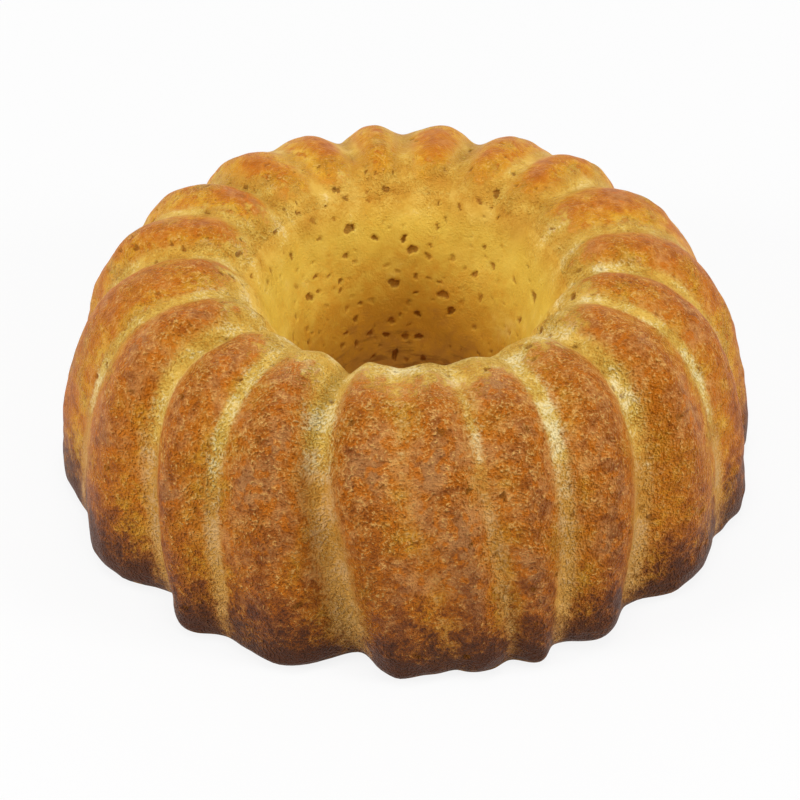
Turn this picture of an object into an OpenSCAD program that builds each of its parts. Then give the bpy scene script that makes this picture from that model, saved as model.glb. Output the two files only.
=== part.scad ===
// A baked ring cake with twenty ribs, standing crown up on its flat base.
// The browned ribbed crust, the pale skin of the tunnel, the base crust and the
// sponge inside them are separate layers that meet face to face.

/* [Ring] */
// Height from the table to the crown of the ring
height = 75; // [62:1:90]
// Radius of the rib crowns at the middle of the wall
wall_r = 103; // [95:1:115]
// How much wider the ring is at the table than at its middle
flare = 7.5; // [0:0.5:10]
// Radius of the circle along which the crown is highest
crown_r = 64; // [58:1:72]
// Height of the straight stretch at the foot of the wall
foot_h = 7; // [4:1:12]
// Radius that rounds the edge at the table
foot_round = 4; // [3:0.5:6]

/* [Tunnel] */
// Radius of the tunnel at the table
tunnel_r = 27; // [22:1:30]
// How much the tunnel widens for each millimetre of height
tunnel_taper = 0.26; // [0.1:0.02:0.3]

/* [Ribs] */
// Share of a valley's depth that is left on the crown of the ring
crown_share = 0.75; // [0.5:0.05:1]
// Radius inside which the valleys have faded out
fade_r = 40; // [36:1:48]
// Softness of the bottom of a valley, where 0 is a sharp crease
valley_soft = 0.5; // [0.1:0.05:1]

/* [Layers] */
// Thickness of the browned crust
crust_t = 2; // [1:0.5:3]
// Thickness of the pale skin that lines the tunnel
skin_t = 1.2; // [0.8:0.2:2]
// Thickness of the crust under the ring
base_t = 2.5; // [2:0.5:4]

/* [Hidden] */

// Exponents of the rounded outlines of the outer wall and of the funnel
wall_up = 2.6;
wall_out = 2.6;
funnel_up = 7.5;
funnel_out = 1.9;

// Each valley: its angle on the crown, its angle at the table, and its depth on
// the wall. 0 degrees faces -Y and the angles grow towards +X. The ribs of a real
// cake are uneven, and they lean where the batter has settled.
VALLEYS = [
    [-180, -180, 4.5], [-164.5, -164, 6], [-147.5, -147, 3], [-131, -130.5, 7],
    [-112, -113, 3.5], [-94, -98, 6.5], [-71, -70, 3.5], [-54.5, -43.5, 7.5],
    [-36, -29.5, 3.5], [-18, -8.5, 9.5], [-2, 7, 2.2], [12, 15.5, 2.8],
    [28.5, 23.5, 4], [48, 38.5, 8], [66, 62, 3.5], [83.5, 80, 5.5],
    [102.5, 99, 4], [128, 128, 6.5], [144, 142.5, 3.5], [162, 160.5, 7]
];
ribs = len(VALLEYS);

// Places across one rib, from one valley to the next, where a column of points stands
ACROSS = [0, 0.12, 0.3, 0.5, 0.7, 0.88];
columns = ribs * len(ACROSS);

// Rows of points: up the foot and the wall to the crown, then down the tunnel.
// The browned crust ends at the parting row, inside the mouth of the tunnel.
foot_rows = 3;
wall_rows = 10;
tunnel_rows = 8;
crown_row = foot_rows + wall_rows;
parting_row = crown_row + 4;
last_row = crown_row + tunnel_rows;

function mix(a, b, x) = a + (b - a) * x;
function power(x, e) = x <= 0 ? 0 : pow(x, e);
function clip(x) = max(0, min(1, x));

// Outline of the rib crowns as [radius, height], drawn in by the inset t
function foot_point(i, t) = [wall_r - t, mix(base_t, foot_h, i / foot_rows)];
function wall_point(a, t) = [
    crown_r + (wall_r - t - crown_r) * power(cos(a), 2 / wall_out),
    foot_h + (height - t - foot_h) * power(sin(a), 2 / wall_up)
];
function tunnel_wall(z, t) = tunnel_r + tunnel_taper * z + t;
function funnel_z(a, t) = max(base_t, (height - t) * power(sin(a), 2 / funnel_up));
function funnel_point(a, t) = let (z = funnel_z(a, t))
    [crown_r - (crown_r - tunnel_wall(z, t)) * power(cos(a), 2 / funnel_out), z];

// The angles are spaced so that the rows lie about evenly along the outline
function wall_angle(k) = 90 * k / wall_rows;
function funnel_angle(k) = k == tunnel_rows ? 0 : 90 - 88 * pow(k / tunnel_rows, 0.7);

function outline(i, t) =
    i <= foot_rows ? foot_point(i, t) :
    i <= crown_row ? wall_point(wall_angle(i - foot_rows), t) :
    funnel_point(funnel_angle(i - crown_row), t);

// Direction from the outline into the cake
function inward(i, t) =
    i == 0 || i == last_row ? [0, 0] :
    let (d = outline(i + 1, t) - outline(i - 1, t), n = norm(d))
    [-d[1] / n, d[0] / n];

// Share of a valley's depth at each row, and how far its lean has grown there
function climb(p) = clip((p[1] - foot_h) / (height - foot_h));
function share(i, p) = i <= crown_row
    ? mix(crown_share, 1, 1 - pow(climb(p), 3))
    : crown_share * power(clip((p[0] - fade_r) / (crown_r - fade_r)), 0.8);
function lean(i, p) = i <= crown_row ? 1 - climb(p) : 0;

// Depth across a rib: 1 in the valley and 0 on the rib's crown
function dip(x) = let (s = valley_soft)
    1 - (sqrt(pow(sin(180 * x), 2) + s * s) - s) / (sqrt(1 + s * s) - s);

// How far the rounded edge at the table draws the foot in
function edge_in(z) = let (q = clip(1 - z / foot_round))
    foot_round * (1 - sqrt(1 - q * q));

function valley(k, n) = VALLEYS[k % ribs][n] + (k < ribs ? 0 : n < 2 ? 360 : 0);
function depth(k, x) = dip(x) * valley(x <= 0.5 ? k : k + 1, 2);

// Point of the surface at row i, rib k and place x across the rib, at inset t
function surface_point(i, k, x, t) =
    let (
        p = outline(i, t),
        n = inward(i, t),
        d = depth(k, x) * share(i, p),
        w = lean(i, p),
        crown_a = mix(valley(k, 0), valley(k + 1, 0), x),
        table_a = mix(valley(k, 1), valley(k + 1, 1), x),
        a = mix(crown_a, table_a, w),
        is_foot = i <= foot_rows,
        out = i <= crown_row ? flare * w : 0,
        r = p[0] + (is_foot ? -d : n[0] * d) + out - (i == 0 ? edge_in(p[1]) : 0),
        z = p[1] + (is_foot ? 0 : n[1] * d)
    )
    [r * sin(a), -r * cos(a), z];

// One upright column of surface points between two rows
function column(j, from, to, t) =
    let (k = floor(j / len(ACROSS)), x = ACROSS[j % len(ACROSS)])
    [for (i = [from:to]) surface_point(i, k, x, t)];

function turned(list) = [for (i = [len(list) - 1:-1:0]) list[i]];

// The inset thins from the crust's to the tunnel skin's below the parting row
function skin_inset(i) = i <= parting_row ? crust_t : skin_t;
function inner_column(j, from, to) =
    let (k = floor(j / len(ACROSS)), x = ACROSS[j % len(ACROSS)])
    [for (i = [from:to]) surface_point(i, k, x, skin_inset(i))];

// A closed ring through one closed section for each column
module ring(sections) {
    n = len(sections);
    m = len(sections[0]);
    polyhedron(
        points = [for (s = sections) each s],
        faces = [
            for (j = [0:n - 1], i = [0:m - 1])
                let (
                    a = j * m + i,
                    b = j * m + (i + 1) % m,
                    c = ((j + 1) % n) * m + (i + 1) % m,
                    d = ((j + 1) % n) * m + i
                )
                each [[a, b, c], [a, c, d]]
        ]
    );
}

// The yellow sponge: the whole ring inside its three crusts
module crumb() {
    color("#e8c062")
        ring([for (j = [0:columns - 1]) inner_column(j, 0, last_row)]);
}

// The browned, ribbed skin from the base up over the crown to the tunnel's mouth
module fluted_crust() {
    color("#b96a22")
        ring([
            for (j = [0:columns - 1])
                concat(
                    column(j, 0, parting_row, 0),
                    turned(inner_column(j, 0, parting_row))
                )
        ]);
}

// The pale skin with open pores that lines the tunnel
module tunnel_skin() {
    color("#d9ab4a")
        ring([
            for (j = [0:columns - 1])
                concat(
                    column(j, parting_row, last_row, 0),
                    turned(inner_column(j, parting_row, last_row))
                )
        ]);
}

// The dark flat crust on which the cake stands, drawn in at the rounded edge
module base_crust() {
    draw_in = edge_in(base_t / 2) - edge_in(base_t);
    rim = [
        for (j = [0:columns - 1])
            let (p = column(j, 0, 0, 0)[0], r = norm([p[0], p[1]]), k = 1 - draw_in / r)
            [p[0] * k, p[1] * k]
    ];
    color("#6b3d1c")
        difference() {
            linear_extrude(base_t) polygon(rim);
            translate([0, 0, -1]) cylinder(r = tunnel_wall(base_t, 0), h = base_t + 2, $fn = 96);
        }
}

crumb();
fluted_crust();
tunnel_skin();
base_crust();
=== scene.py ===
import math

import bmesh
import bpy
import numpy as np
from mathutils import Matrix, Vector, noise
from types import SimpleNamespace


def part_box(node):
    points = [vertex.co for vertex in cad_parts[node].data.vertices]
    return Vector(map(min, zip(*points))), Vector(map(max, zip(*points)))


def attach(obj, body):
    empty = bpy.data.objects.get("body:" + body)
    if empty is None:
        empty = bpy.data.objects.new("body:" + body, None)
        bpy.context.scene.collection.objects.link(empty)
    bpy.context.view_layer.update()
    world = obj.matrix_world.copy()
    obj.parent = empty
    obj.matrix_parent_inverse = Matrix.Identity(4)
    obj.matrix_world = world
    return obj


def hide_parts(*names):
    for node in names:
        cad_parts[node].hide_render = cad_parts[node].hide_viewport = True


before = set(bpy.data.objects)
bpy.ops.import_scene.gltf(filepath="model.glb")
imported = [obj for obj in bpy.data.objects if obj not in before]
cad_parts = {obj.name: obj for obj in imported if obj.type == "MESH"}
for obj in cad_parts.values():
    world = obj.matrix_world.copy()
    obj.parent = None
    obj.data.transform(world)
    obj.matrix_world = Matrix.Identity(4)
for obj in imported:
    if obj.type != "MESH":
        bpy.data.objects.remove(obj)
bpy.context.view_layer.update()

# Crumb. The yellow sponge of the ring. The batter rises in a fluted tube tin, so the
# crumb takes the tin's twenty flutes, and gas leaves it full of small cells. The
# three crusts are not put on it: they form where the batter meets the hot tin.
mm = 0.001

# The ring as the tin shapes it. Its height and the two heights at which the pieces
# meet come from the frame, and the rest are the named sizes of the part's source.
ring_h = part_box("fluted_crust")[1].z
base_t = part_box("base_crust")[1].z
parting_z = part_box("tunnel_skin")[1].z
foot_h = 7 * mm
foot_round = 4 * mm
flare = 7.5 * mm
wall_r = 103 * mm
crown_r = 64 * mm
tunnel_r = 27 * mm
tunnel_taper = 0.26
crown_share = 0.75
fade_r = 40 * mm
valley_soft = 0.5
crust_t = 2 * mm
skin_t = 1.2 * mm

# Exponents of the rounded outlines of the outer wall and of the funnel
wall_up = 2.6
wall_out = 2.6
funnel_up = 7.5
funnel_out = 1.9

# The ribs stay whole down to this depth under the surface, and fade out below it
ribs_whole = 5 * mm
ribs_fade = 30 * mm

# Each valley between two ribs: its angle on the crown and at the table in degrees,
# and its depth on the wall in millimetres. 0 faces -Y and the angles grow to +X.
valleys = [
    (-180, -180, 4.5), (-164.5, -164, 6), (-147.5, -147, 3), (-131, -130.5, 7),
    (-112, -113, 3.5), (-94, -98, 6.5), (-71, -70, 3.5), (-54.5, -43.5, 7.5),
    (-36, -29.5, 3.5), (-18, -8.5, 9.5), (-2, 7, 2.2), (12, 15.5, 2.8),
    (28.5, 23.5, 4), (48, 38.5, 8), (66, 62, 3.5), (83.5, 80, 5.5),
    (102.5, 99, 4), (128, 128, 6.5), (144, 142.5, 3.5), (162, 160.5, 7),
]
ribs = len(valleys)


def bulge(share, up, out):
    """How far a rounded outline still stands out at a share of its height."""
    return np.clip(1 - share**up, 0, 1) ** (1 / out)


def draw_outline(points=1500, even_points=2400):
    """Radius and height along the rib crowns: up the wall, over the crown, down the tunnel."""
    run = np.linspace(0, 1, points)
    climb = 1 - (1 - run) ** 2
    fall = ring_h * (1 - run**2)
    tunnel = tunnel_r + tunnel_taper * fall
    radius = np.concatenate([
        np.full(points - 1, wall_r),
        crown_r + (wall_r - crown_r) * bulge(climb[:-1], wall_up, wall_out),
        crown_r - (crown_r - tunnel) * bulge(fall / ring_h, funnel_up, funnel_out),
    ])
    height = np.concatenate([
        foot_h * run[:-1],
        foot_h + (ring_h - foot_h) * climb[:-1],
        fall,
    ])
    steps = np.hypot(np.diff(radius), np.diff(height))
    station = np.concatenate([[0], np.cumsum(steps)])
    even = np.linspace(0, station[-1], even_points)
    radius = np.interp(even, station, radius)
    height = np.interp(even, station, height)
    return even, radius, height


line_s, line_r, line_z = draw_outline()
line_out = np.gradient(line_z, line_s), -np.gradient(line_r, line_s)

# Stations along the outline, counted from the table, where the pieces meet
crown_s = line_s[np.argmax(line_z)]
in_tunnel = line_s > crown_s
parting_s = np.interp(-parting_z, -line_z[in_tunnel], line_s[in_tunnel])
foot_s = base_t
tunnel_end_s = np.interp(-base_t, -line_z[in_tunnel], line_s[in_tunnel])


def fine_noise(points, size, seed):
    """Smooth noise between about -1 and 1, in swells as wide as size. Each seed reads it elsewhere."""
    elsewhere = Vector((7.1, 3.7, 5.3)) * seed
    return np.array([noise.noise(Vector(p) / size + elsewhere) for p in points])


def on_cake(station, turn, inset):
    """Places on the ribbed ring, for stations along the outline, turns in ribs, and insets."""
    spot = SimpleNamespace()
    radius = np.interp(station, line_s, line_r)
    height = np.interp(station, line_s, line_z)
    spot.out_r = np.interp(station, line_s, line_out[0])
    spot.out_z = np.interp(station, line_s, line_out[1])
    outside = station <= crown_s
    climb = np.clip((height - foot_h) / (ring_h - foot_h), 0, 1)
    lean = np.where(outside, 1 - climb, 0)

    # A valley is deepest on the wall, shallower on the crown, and gone in the tunnel
    on_wall = crown_share + (1 - crown_share) * (1 - climb**3)
    in_mouth = np.clip((radius - fade_r) / (crown_r - fade_r), 0, 1) ** 0.8
    share = np.where(outside, on_wall, crown_share * in_mouth)

    closed = np.array([*valleys, (valleys[0][0] + 360, valleys[0][1] + 360, valleys[0][2])])
    rib = np.floor(turn).astype(int)
    before = np.radians(closed[rib, 0] * (1 - lean) + closed[rib, 1] * lean)
    after = np.radians(closed[rib + 1, 0] * (1 - lean) + closed[rib + 1, 1] * lean)
    spot.angle = before + (after - before) * (turn - rib)
    near = np.where(turn - rib <= 0.5, rib, rib + 1)
    swell = np.sqrt(np.sin(np.pi * turn) ** 2 + valley_soft**2) - valley_soft
    dip = 1 - swell / (math.sqrt(1 + valley_soft**2) - valley_soft)
    spot.full_depth = closed[near, 2] * mm
    valley = dip * spot.full_depth * share
    spot.from_valley = np.minimum(spot.angle - before, after - spot.angle) * radius

    spot.ribbed = np.clip(1 - (inset - ribs_whole) / ribs_fade, 0, 1)
    edge = np.clip(1 - height / foot_round, 0, 1)
    drawn_in = foot_round * (1 - np.sqrt(1 - edge**2)) * outside
    push = valley * spot.ribbed + inset
    spot.radius = radius - spot.out_r * push + flare * lean * spot.ribbed - drawn_in
    spot.height = height - spot.out_z * push
    return spot


dice = np.random.default_rng(5)


def open_bubbles(bubbles, count, start, end, smallest, largest):
    """Adds gas bubbles that burst at the surface, most of them small, apart from each other."""
    wanted = len(bubbles) + count
    while len(bubbles) < wanted:
        size = smallest + (largest - smallest) * dice.random() ** 1.4
        station = dice.uniform(start, end)
        angle = dice.uniform(-math.pi, math.pi)
        radius = np.interp(station, line_s, line_r)
        if any(
            math.hypot(b["station"] - station, (b["angle"] - angle) * radius)
            < 1.5 * (b["size"] + size)
            for b in bubbles
        ):
            continue
        bubbles.append({
            "station": station,
            "angle": angle,
            "size": size,
            "depth": size * dice.uniform(0.3, 0.8),
            "narrow": dice.uniform(0.5, 1),
            "tilt": dice.uniform(0, math.pi),
            "crooked": dice.uniform(0, 2 * math.pi, 3),
        })


def hollows(station, angle, radius, bubbles):
    """How deep each point lies in a burst bubble. A bubble's edge is an oval with lobes and nicks."""
    depth = np.zeros_like(station)
    for b in bubbles:
        across = (np.remainder(angle - b["angle"] + math.pi, 2 * math.pi) - math.pi) * radius
        along = station - b["station"]
        near = np.flatnonzero(np.abs(across) + np.abs(along) < 3 * b["size"])
        x = across[near] * math.cos(b["tilt"]) + along[near] * math.sin(b["tilt"])
        y = along[near] * math.cos(b["tilt"]) - across[near] * math.sin(b["tilt"])
        y = y / b["narrow"]
        around = np.arctan2(y, x)
        one, two, three = b["crooked"]
        edge = 1 + 0.2 * np.sin(2 * around + one) + 0.13 * np.sin(3 * around + two)
        edge = b["size"] * (edge + 0.08 * np.sin(5 * around + three))
        inside = np.clip((1.15 - np.hypot(x, y) / edge) / 0.4, 0, 1)
        inside = inside * inside * (3 - 2 * inside)
        depth[near] = np.maximum(depth[near], b["depth"] * inside)
    return depth


def read_layer(mesh, name):
    """A vertex layer of the mesh as an array."""
    values = np.zeros(len(mesh.vertices))
    mesh.attributes[name].data.foreach_get("value", values)
    return values


def store_layer(mesh, name, values):
    """Keeps one number for each vertex, for the materials to read."""
    layer = mesh.attributes.new(name, "FLOAT", "POINT")
    layer.data.foreach_set("value", values.astype(np.float32))


def points_at(radius, angle, height):
    """Points at a radius, an angle from -Y towards +X, and a height."""
    return np.stack([radius * np.sin(angle), -radius * np.cos(angle), height], axis=1)


def bake_ring(name, rows, cuts, bubbles):
    """A closed ring of the cake: its loop of (station, inset) rows, spun and pressed into the ribs."""
    bm = bmesh.new()
    station_layer = bm.verts.layers.float.new("station")
    inset_layer = bm.verts.layers.float.new("inset")
    loop = []
    for station, inset in rows:
        radius, height, out_r, out_z = [
            np.interp(station, line_s, line) for line in (line_r, line_z, *line_out)
        ]
        vert = bm.verts.new((radius - out_r * inset, 0, height - out_z * inset))
        vert[station_layer] = station
        vert[inset_layer] = inset
        loop.append(vert)
    sides = [bm.edges.new((loop[i - 1], loop[i])) for i in range(len(loop))]
    bmesh.ops.spin(
        bm, geom=loop + sides, cent=(0, 0, 0), axis=(0, 0, 1),
        angle=2 * math.pi, steps=ribs, use_merge=True,
    )
    around = [
        e for e in bm.edges
        if e.verts[0][station_layer] == e.verts[1][station_layer]
        and e.verts[0][inset_layer] == e.verts[1][inset_layer]
    ]
    bmesh.ops.subdivide_edges(bm, edges=around, cuts=cuts, use_grid_fill=True)
    bmesh.ops.recalc_face_normals(bm, faces=bm.faces)
    mesh = bpy.data.meshes.new(name)
    bm.to_mesh(mesh)
    bm.free()

    place = np.zeros(len(mesh.vertices) * 3)
    mesh.vertices.foreach_get("co", place)
    place = place.reshape(-1, 3)
    turn = (np.arctan2(place[:, 0], -place[:, 1]) / (2 * math.pi) + 0.5) * ribs
    turn = np.clip(turn, 0, ribs - 1e-6)
    station = read_layer(mesh, "station")
    inset = read_layer(mesh, "inset")
    spot = on_cake(station, turn, inset)

    # The batter is never even: the ribs wander a little, every face is lumpy, and the
    # edge at the table is lumpier still
    even = points_at(spot.radius, spot.angle, spot.height)
    wander = math.radians(0.45) * fine_noise(even, 24 * mm, 1)
    lump = 0.7 * mm * fine_noise(even, 15 * mm, 2) + 0.35 * mm * fine_noise(even, 5 * mm, 3)
    at_table = np.clip(1 - spot.height / (9 * mm), 0, 1) * (station < crown_s)
    lump = lump + at_table * 1.6 * mm * (fine_noise(even, 9 * mm, 4) - 0.3)
    angle = spot.angle + wander * spot.ribbed
    hollow = hollows(station, angle, spot.radius, bubbles)
    push = (lump - hollow) * spot.ribbed
    place = points_at(spot.radius + spot.out_r * push, angle, spot.height + spot.out_z * push)
    mesh.vertices.foreach_set("co", place.ravel())
    mesh.update()
    mesh.polygons.foreach_set("use_smooth", [True] * len(mesh.polygons))
    mesh.set_sharp_from_angle(angle=math.radians(75))

    # What the materials read. The skin stayed pale along each valley, wider in a deep
    # one, and round the mouth, further out on the front of this cake than on its back.
    # It is most toasted on the rib crowns.
    band = 2 * mm + 0.4 * spot.full_depth
    strength = np.clip((spot.full_depth - 1.4 * mm) / (2.2 * mm), 0, 1)
    store_layer(mesh, "pale", strength * np.exp(-((spot.from_valley / band) ** 2)))
    front = np.clip(np.cos(angle), 0, 1) ** 1.5
    store_layer(mesh, "from_mouth", (parting_s - station) / mm - 14 * front)
    store_layer(mesh, "toast", np.sin(np.pi * turn) ** 2)
    store_layer(mesh, "hollow", hollow / (2 * mm))

    piece = bpy.data.objects.new(name, mesh)
    bpy.context.scene.collection.objects.link(piece)
    return piece


def rows_along(start, end, count, inset):
    """Evenly spaced rows at one depth under the surface."""
    return [(s, inset) for s in np.linspace(start, end, count)]


# Bubbles torn open as the tube is pulled out, pinholes round the mouth and down the
# tunnel, pinholes on the wall, and the cells that only the sponge under the skin has
bubbles = []
open_bubbles(bubbles, 64, parting_s + 8 * mm, tunnel_end_s - 4 * mm, 1.0 * mm, 2.1 * mm)
open_bubbles(bubbles, 480, parting_s - 8 * mm, tunnel_end_s - 2 * mm, 0.5 * mm, 1.4 * mm)
open_bubbles(bubbles, 420, foot_s + 3 * mm, parting_s - 6 * mm, 0.5 * mm, 1.1 * mm)
cells = []
open_bubbles(cells, 700, foot_s, tunnel_end_s, 0.9 * mm, 2.2 * mm)

crumb = bake_ring(
    "crumb_sponge",
    rows_along(foot_s, parting_s, 110, crust_t) + rows_along(parting_s, tunnel_end_s, 60, skin_t),
    cuts=14,
    bubbles=bubbles + cells,
)


def linear(colour):
    """An sRGB hex colour as linear red, green, blue and alpha."""
    parts = [int(colour[i:i + 2], 16) / 255 for i in (1, 3, 5)]
    return *[c / 12.92 if c <= 0.04045 else ((c + 0.055) / 1.055) ** 2.4 for c in parts], 1


def add(tree, kind, *values, out=None, stops=(), **settings):
    """Adds a node. Values go to its inputs in order, settings to its own settings or named inputs."""
    made = tree.nodes.new("ShaderNode" + kind)
    inputs = {}
    for name, value in settings.items():
        if hasattr(made, name):
            setattr(made, name, value)
        else:
            inputs[name.replace("_", " ")] = value
    sockets = [s for s in made.inputs if s.enabled]
    named = [(s, inputs[s.name]) for s in sockets if s.name in inputs]
    for socket, value in [*zip(sockets, values), *named]:
        if isinstance(value, bpy.types.NodeSocket):
            tree.links.new(value, socket)
        else:
            socket.default_value = linear(value) if isinstance(value, str) else value
    for i, (position, colour) in enumerate(stops):
        ramp = made.color_ramp.elements
        stop = ramp[i] if i < len(ramp) else ramp.new(position)
        stop.position = position
        stop.color = linear(colour)
    if not made.outputs:
        return None
    return made.outputs[out] if out else next(s for s in made.outputs if s.enabled)


def new_material(name):
    """An empty node material, its tree, and the place on the piece that its patterns read."""
    material = bpy.data.materials.new(name)
    material.use_nodes = True
    material.node_tree.nodes.clear()
    place = add(material.node_tree, "TexCoord", out="Object")
    return material, material.node_tree, place


def uneven(tree, place, size, detail=3.0, rough=0.55):
    """Unevenness around zero, in swells as wide as size."""
    swell = add(tree, "TexNoise", Vector=place, Scale=1 / size, Detail=detail, Roughness=rough)
    return add(tree, "Math", swell, 0.5, operation="SUBTRACT")


def weigh(tree, start, *parts):
    """Start plus each part's value times its weight."""
    for value, weight in parts:
        start = add(tree, "Math", value, weight, start, operation="MULTIPLY_ADD")
    return start


def paint(tree, colour, *coats):
    """Lays coats over a colour. Each coat has a colour, the most that it covers, a value, and the
    numbers at which that value starts to bring it in and has brought it in whole."""
    for over, most, value, start, end in coats:
        share = add(tree, "MapRange", value, start, end, 0.0, most, interpolation_type="SMOOTHSTEP")
        colour = add(tree, "Mix", share, colour, over, data_type="RGBA")
    return colour


def bake(tree, colour, roughness, height, relief):
    """Ends a material as baked flour and egg, from satin to matt, with its grain as relief."""
    normal = add(tree, "Bump", Height=height, Distance=relief, Strength=1.0)
    crust = add(
        tree, "BsdfPrincipled", Base_Color=colour, Roughness=roughness, Normal=normal,
        Specular_IOR_Level=0.2, Specular_Tint="#ffd9a0",
    )
    add(tree, "OutputMaterial", Surface=crust)


def sponge_crumb():
    """Open yellow sponge: dry, matt and full of cells, paler than any crust."""
    material, tree, place = new_material("sponge_crumb")
    grain = uneven(tree, place, 0.9 * mm)
    tone = weigh(tree, 0.5, (uneven(tree, place, 7 * mm), 1.0), (grain, 0.4))
    colour = add(tree, "ValToRGB", tone, stops=[(0.3, "#e2b75a"), (0.7, "#f0cf7c")])
    hollow = add(tree, "Attribute", out="Fac", attribute_name="hollow")
    # Painted shade: the sponge is darker inside its cells
    colour = paint(tree, colour, ("#b98a35", 0.6, hollow, 0.0, 0.9))
    bake(tree, colour, 0.8, grain, 0.5 * mm)
    return material


crumb.data.materials.append(sponge_crumb())
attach(crumb, "root")
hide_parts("crumb")

# Tunnel skin. The thin pale skin that forms round the tin's tube, which stays cooler
# than the wall. It is torn by gas bubbles as the tube is pulled out, smooth and
# yellow between them, with painted shade in the bubbles. It darkens towards its foot,
# partly browner where the tube met the base and partly painted shade deep in the funnel.
tunnel_skin = bake_ring(
    "tunnel_lining",
    rows_along(parting_s, tunnel_end_s, 150, 0) + rows_along(tunnel_end_s, parting_s, 24, skin_t),
    cuts=23,
    bubbles=bubbles,
)


def sandy_grain(tree, place):
    """Flour and sugar grain of half a millimetre, drawn at 0.75 mm so that it shows, with crumbs
    of 2 mm. It comes and goes, and it is coarser on the front of this cake than on its back."""
    sand = uneven(tree, place, 0.75 * mm, 1.0, 0.6)
    crumbs = uneven(tree, place, 2.0 * mm, 2.0, 0.7)
    grain = weigh(tree, 0.0, (sand, 1.7), (crumbs, 0.9))
    backwards = add(tree, "SeparateXYZ", place, out="Y")
    amount = weigh(tree, 0.7, (uneven(tree, place, 12 * mm), 1.8), (backwards, -3.6))
    return add(tree, "Math", grain, amount, operation="MULTIPLY")


def pale_tone(tree, place, grain):
    """Under-baked skin: butter yellow to ochre in soft patches, with a sandy grain whose palest grains
    carry painted glints. It is paler on the front and darker on the back, which is painted light.
    """
    backwards = add(tree, "SeparateXYZ", place, out="Y")
    # Painted light: paler on the front and darker on the back
    tone = weigh(tree, 0.5, (uneven(tree, place, 9 * mm), 1.1), (grain, 0.48), (backwards, -1.6))
    return add(tree, "ValToRGB", tone, stops=[
        # The palest stop is painted glints on the grain
        (0.15, "#bd8229"), (0.4, "#cf9c3b"), (0.6, "#e0b856"), (0.85, "#fae5aa"),
    ])


def pale_skin():
    """Pale skin of the tunnel: ochre yellow, satin, with painted shade in its bubbles and a darker
    foot that is partly browner and partly painted shade.
    """
    material, tree, place = new_material("pale_tunnel_skin")
    height = add(tree, "SeparateXYZ", place, out="Z")
    backwards = height.node.outputs["Y"]
    hollow = add(tree, "Attribute", out="Fac", attribute_name="hollow")
    blotch = uneven(tree, place, 7 * mm)
    mottle = uneven(tree, place, 2.8 * mm, 3.0, 0.65)
    fine = add(tree, "MapRange", height, 66 * mm, 50 * mm, 1.0, 0.4)
    grain = add(tree, "Math", sandy_grain(tree, place), fine, operation="MULTIPLY")
    wavy = weigh(tree, height, (blotch, 30 * mm), (mottle, 36 * mm), (backwards, -0.3))

    # Brown tears lie round the tunnel, most of them near its foot
    lying = add(tree, "VectorMath", place, (0.4, 0.4, 1.4), operation="MULTIPLY")
    torn = weigh(tree, uneven(tree, lying, 3.5 * mm, 3.0, 0.6), (height, -15.0))
    colour = paint(
        tree, pale_tone(tree, place, grain),
        ("#dab847", 0.75, height, 66 * mm, 54 * mm),
        # Darker towards the foot of the tunnel: partly browning, partly painted shade deep in the
        # funnel
        ("#c78a26", 0.8, wavy, 48 * mm, 16 * mm),
        ("#b07a34", 0.75, wavy, 20 * mm, 0.0),
        ("#75451a", 0.6, torn, -0.24, 0.0),
        # Painted shade inside the bubbles
        ("#8a4f12", 0.7, hollow, 0.05, 0.45),
    )
    bake(tree, colour, 0.5, grain, 0.5 * mm)
    return material


tunnel_skin.data.materials.append(pale_skin())
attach(tunnel_skin, "root")
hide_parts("tunnel_skin")

# Fluted crust. The browned skin that baked against the fluted wall of the tin. The
# rib crowns pressed on the hot metal and browned, and the valleys stayed pale. Its
# surface is a fine sandy grain with glossy spots where butter fried it.
fluted_crust = bake_ring(
    "ribbed_crust",
    rows_along(foot_s, parting_s, 158, 0) + rows_along(parting_s, foot_s, 12, crust_t),
    cuts=27,
    bubbles=bubbles,
)


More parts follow.
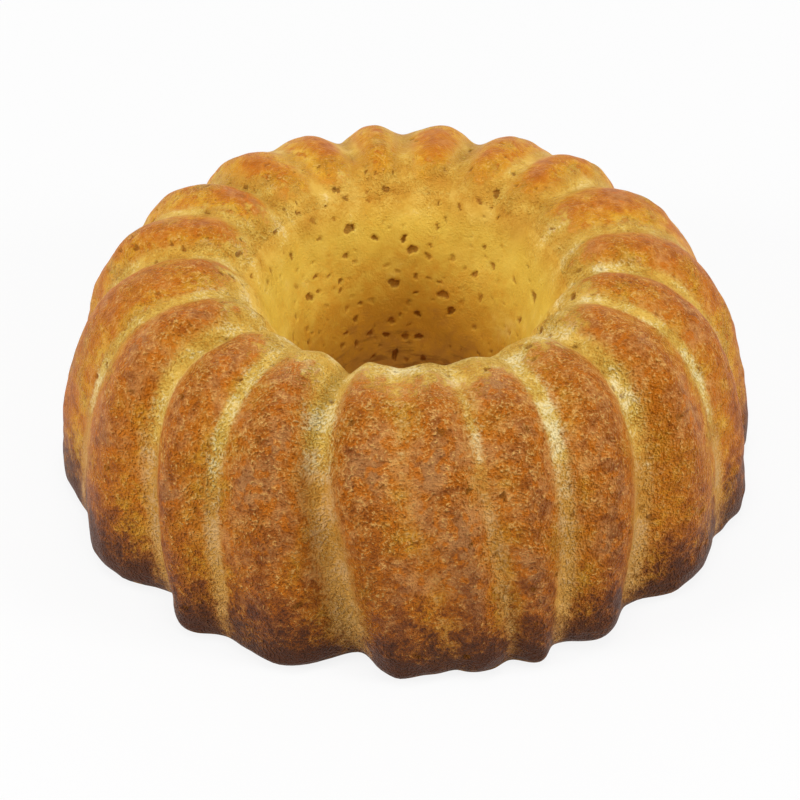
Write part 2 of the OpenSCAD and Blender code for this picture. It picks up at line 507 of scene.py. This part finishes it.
def browned_crust():
    """Browned crust: fried orange under dry floury patches, with pale valleys, pale grains with
    painted glints, and a dark foot that is partly painted shade.
    """
    material, tree, place = new_material("browned_crust")
    height = add(tree, "SeparateXYZ", place, out="Z")
    backwards = height.node.outputs["Y"]
    pale, mouth, hollow, toast = [
        add(tree, "Attribute", out="Fac", attribute_name=name)
        for name in ("pale", "from_mouth", "hollow", "toast")
    ]
    region = uneven(tree, place, 12 * mm, 2.0, 0.5)
    patch = uneven(tree, place, 4 * mm, 3.0, 0.6)
    spot = uneven(tree, place, 3 * mm, 1.0, 0.4)
    grain = sandy_grain(tree, place)

    # Painted light: browner on the front and more golden towards the back
    tone = weigh(tree, 0.71, (region, 1.1), (patch, 0.7), (toast, -0.28), (backwards, 1.8))
    browned = add(tree, "ValToRGB", tone, stops=[
        (0.08, "#84400e"), (0.32, "#b06117"), (0.5, "#c6781b"), (0.7, "#d99a26"), (0.9, "#e9bd4a"),
    ])

    # A dry floury film lies on the upper ribs, and fried orange spots break through it
    dry = weigh(tree, 0.0, (region, -1.2), (patch, 0.9), (grain, 0.35), (height, 6.0))
    dry = weigh(tree, dry, (backwards, -3.0))
    fried = weigh(tree, spot, (height, 1.6), (grain, 0.06), (backwards, -0.6))
    # Pale sugar grains with painted glints on them, more of them higher up on the ribs
    glints_and_pale_grains = weigh(tree, grain, (height, 3.5), (patch, 0.25))
    browned = paint(
        tree, browned,
        ("#8f4112", 0.55, region, 0.0, 0.3),
        ("#d69f62", 0.45, dry, 0.35, 0.95),
        ("#c46a0e", 0.7, fried, 0.16, 0.26),
        ("#7a3a10", 0.5, grain, -0.08, -0.5),
        # Pale grains and painted glints
        ("#f2bf6c", 0.6, glints_and_pale_grains, 0.28, 0.7),
    )

    # The pale skin of the valleys and of the mouth has ragged edges. It is ochre where it
    # is faint and low on the front, and lighter again near the table, which is painted light
    # against the shade there. The crust darkens towards the table, partly browned at the hot
    # foot of the tin and partly painted shade where the wall turns under.
    ragged = weigh(tree, pale, (patch, 0.5), (grain, 0.4))
    at_mouth = weigh(tree, mouth, (patch, 30.0), (grain, 8.0))
    low = weigh(tree, height, (region, 22 * mm), (patch, 26 * mm), (grain, 9 * mm))
    low = weigh(tree, low, (pale, 14 * mm))
    ochre = weigh(tree, low, (backwards, 0.3))
    light = paint(
        tree, pale_tone(tree, place, grain),
        ("#c47d2e", 0.65, ochre, 56 * mm, 34 * mm),
        # Painted light: lighter low on the wall, against the shade there
        ("#dba452", 0.6, ochre, 24 * mm, 0.0),
    )
    faint = paint(tree, light, ("#c4843a", 0.65, pale, 0.85, 0.35))
    colour = paint(
        tree, browned,
        (faint, 1.0, ragged, 0.14, 0.8),
        (light, 1.0, at_mouth, 13.0, 5.0),
        # Darker towards the table: partly browning at the hot foot of the tin, partly painted shade
        # where the wall turns under
        ("#80411a", 0.75, low, 34 * mm, 12 * mm),
        ("#41221b", 0.88, low, 23 * mm, 6 * mm),
        # Painted shade inside the bubbles
        ("#8a5218", 0.7, hollow, 0.03, 0.25),
    )
    bake(tree, colour, 0.48, grain, 1.1 * mm)
    return material


fluted_crust.data.materials.append(browned_crust())
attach(fluted_crust, "root")
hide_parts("fluted_crust")

# Base crust. The darkest skin, on the flat side that the cake stands on. In the tin it
# was the open top, so it dried hard in the oven's air and cracked as the batter rose.
# Its loop goes up the outer edge, in across the top, down the foot of the tunnel and out
# across the underside.
edge_rows = rows_along(0, foot_s, 8, 0)
top_rows = [(foot_s, inset) for inset in np.linspace(8 * mm, 72 * mm, 5)]
tunnel_rows = rows_along(tunnel_end_s, line_s[-1], 5, 0)
under_rows = [(0, inset) for inset in np.linspace(72 * mm, 3 * mm, 80)]
base_crust = bake_ring(
    "crust_underside",
    edge_rows + top_rows + tunnel_rows + under_rows,
    cuts=20,
    bubbles=[],
)


def dark_crust():
    """Dark base crust: deep brown, dry and mottled, with yellower cracks between its plates."""
    material, tree, place = new_material("dark_base_crust")
    grain = sandy_grain(tree, place)
    patch = uneven(tree, place, 8 * mm, 4.0, 0.6)

    # Plates about 28 mm wide, with crooked cracks between them
    crooked = add(tree, "TexNoise", Vector=place, Scale=1 / (9 * mm), Detail=3.0, out="Color")
    crooked = add(tree, "VectorMath", crooked, (14 * mm,) * 3, place, operation="MULTIPLY_ADD")
    plates = add(tree, "TexVoronoi", Vector=crooked, Scale=1 / (28 * mm), feature="DISTANCE_TO_EDGE")
    crack = weigh(tree, plates, (patch, 0.2), (grain, 0.02))

    tone = weigh(tree, 0.5, (patch, 1.2), (grain, 0.3))
    colour = add(tree, "ValToRGB", tone, stops=[(0.3, "#3a2214"), (0.5, "#5b3619"), (0.7, "#7d4f24")])
    colour = paint(tree, colour, ("#99682b", 0.6, crack, 0.04, 0.0))
    depth = add(tree, "MapRange", crack, 0.0, 0.1, 0.0, 1.5, interpolation_type="SMOOTHSTEP")
    bake(tree, colour, 0.65, weigh(tree, depth, (grain, 0.5), (patch, 2.0)), 0.8 * mm)
    return material


base_crust.data.materials.append(dark_crust())
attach(base_crust, "root")
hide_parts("base_crust")

# Table. A plain pale floor, a hair under the cake, that keeps the cake's shadow. The
# camera sees it almost white, as the sweep of paper in a studio is.
floor_r = 2.5
floor_bm = bmesh.new()
bmesh.ops.create_circle(floor_bm, cap_ends=True, segments=96, radius=floor_r)
bmesh.ops.translate(floor_bm, verts=floor_bm.verts, vec=(0, 0, -0.1 * mm))
floor_mesh = bpy.data.meshes.new("floor")
floor_bm.to_mesh(floor_mesh)
floor_bm.free()
floor = bpy.data.objects.new("floor", floor_mesh)
bpy.context.scene.collection.objects.link(floor)

floor_paint, floor_tree, ground = new_material("pale_floor")


def seen_rays(tree):
    """1 for a ray that shows the background: straight, mirrored or through something clear."""
    path = add(tree, "LightPath", out="Is Camera Ray").node.outputs
    seen = add(tree, "Math", path["Is Camera Ray"], path["Is Glossy Ray"], operation="MAXIMUM")
    return add(tree, "Math", seen, path["Is Transmission Ray"], operation="MAXIMUM")


# Near the cake the floor is seen partly as it is lit, so the shadow shows, and further out
# it is white
distance = add(floor_tree, "VectorMath", ground, operation="LENGTH", out="Value")
white_share = add(floor_tree, "MapRange", distance, 0.15, 0.7, 0.86, 1.0)
white_share = add(floor_tree, "Math", seen_rays(floor_tree), white_share, operation="MULTIPLY")
shaded = add(floor_tree, "BsdfDiffuse", Color="#e6e6e6")
white = add(floor_tree, "Emission", Color="#ffffff", Strength=1.0)
add(floor_tree, "OutputMaterial", Surface=add(floor_tree, "MixShader", white_share, shaded, white))
floor_mesh.materials.append(floor_paint)

# Light. A soft box overhead, one on each side towards the front, and a weak one behind.
# The crown and the flanks are bright, and the wall darkens towards the table.
cake_middle = Vector((0, 0, 30 * mm))


def soft_light(name, place, width, watts):
    """A square soft box that faces the middle of the cake."""
    lamp = bpy.data.lights.new(name, "AREA")
    lamp.size = width
    lamp.energy = watts
    light = bpy.data.objects.new(name, lamp)
    towards = cake_middle - Vector(place)
    turn = towards.to_track_quat("-Z", "Y").to_matrix().to_4x4()
    light.matrix_world = Matrix.Translation(place) @ turn
    bpy.context.scene.collection.objects.link(light)


soft_light("overhead", (0, -0.1, 1.1), 0.4, 4.6)
soft_light("left", (-0.95, -0.35, 0.55), 0.3, 6)
soft_light("right", (0.95, -0.35, 0.55), 0.3, 6)
soft_light("behind", (0, 0.95, 0.7), 0.5, 1.5)

# The room lights the cake evenly and weakly, and its backdrop is seen as white
world = bpy.data.worlds.new("studio")
world.use_nodes = True
world.node_tree.nodes.clear()
room = add(world.node_tree, "Background", Color="#ffffff", Strength=0.3)
backdrop = add(world.node_tree, "Background", Color="#ffffff", Strength=1.0)
sky = add(world.node_tree, "MixShader", seen_rays(world.node_tree), room, backdrop)
add(world.node_tree, "OutputWorld", Surface=sky)
bpy.context.scene.world = world
bpy.context.scene.view_settings.view_transform = "Standard"

# Camera. It looks down on the cake from the front through a long lens, two thirds of a
# metre away, with the slight roll of a hand-held photograph.
camera_away = 662.6 * mm
camera_down = math.radians(37.38)
camera_roll = math.radians(-0.49)
camera_aim = Vector((-1.98 * mm, 13.43 * mm, 7 * mm))
sensor_w = 36
focal_pixels = 2010.8
picture_w = 800

back = Vector((0, -math.cos(camera_down), math.sin(camera_down)))
right = Vector((1, 0, 0))
up = back.cross(right)
turned_right = math.cos(camera_roll) * right + math.sin(camera_roll) * up
turned_up = math.cos(camera_roll) * up - math.sin(camera_roll) * right
lens = bpy.data.cameras.new("camera")
lens.sensor_width = sensor_w
lens.lens = focal_pixels / picture_w * sensor_w
lens.clip_start = 0.01
camera = bpy.data.objects.new("camera", lens)
camera.matrix_world = Matrix.Translation(camera_aim + back * camera_away) @ Matrix(
    (turned_right, turned_up, back)
).transposed().to_4x4()
bpy.context.scene.collection.objects.link(camera)
bpy.context.scene.camera = camera
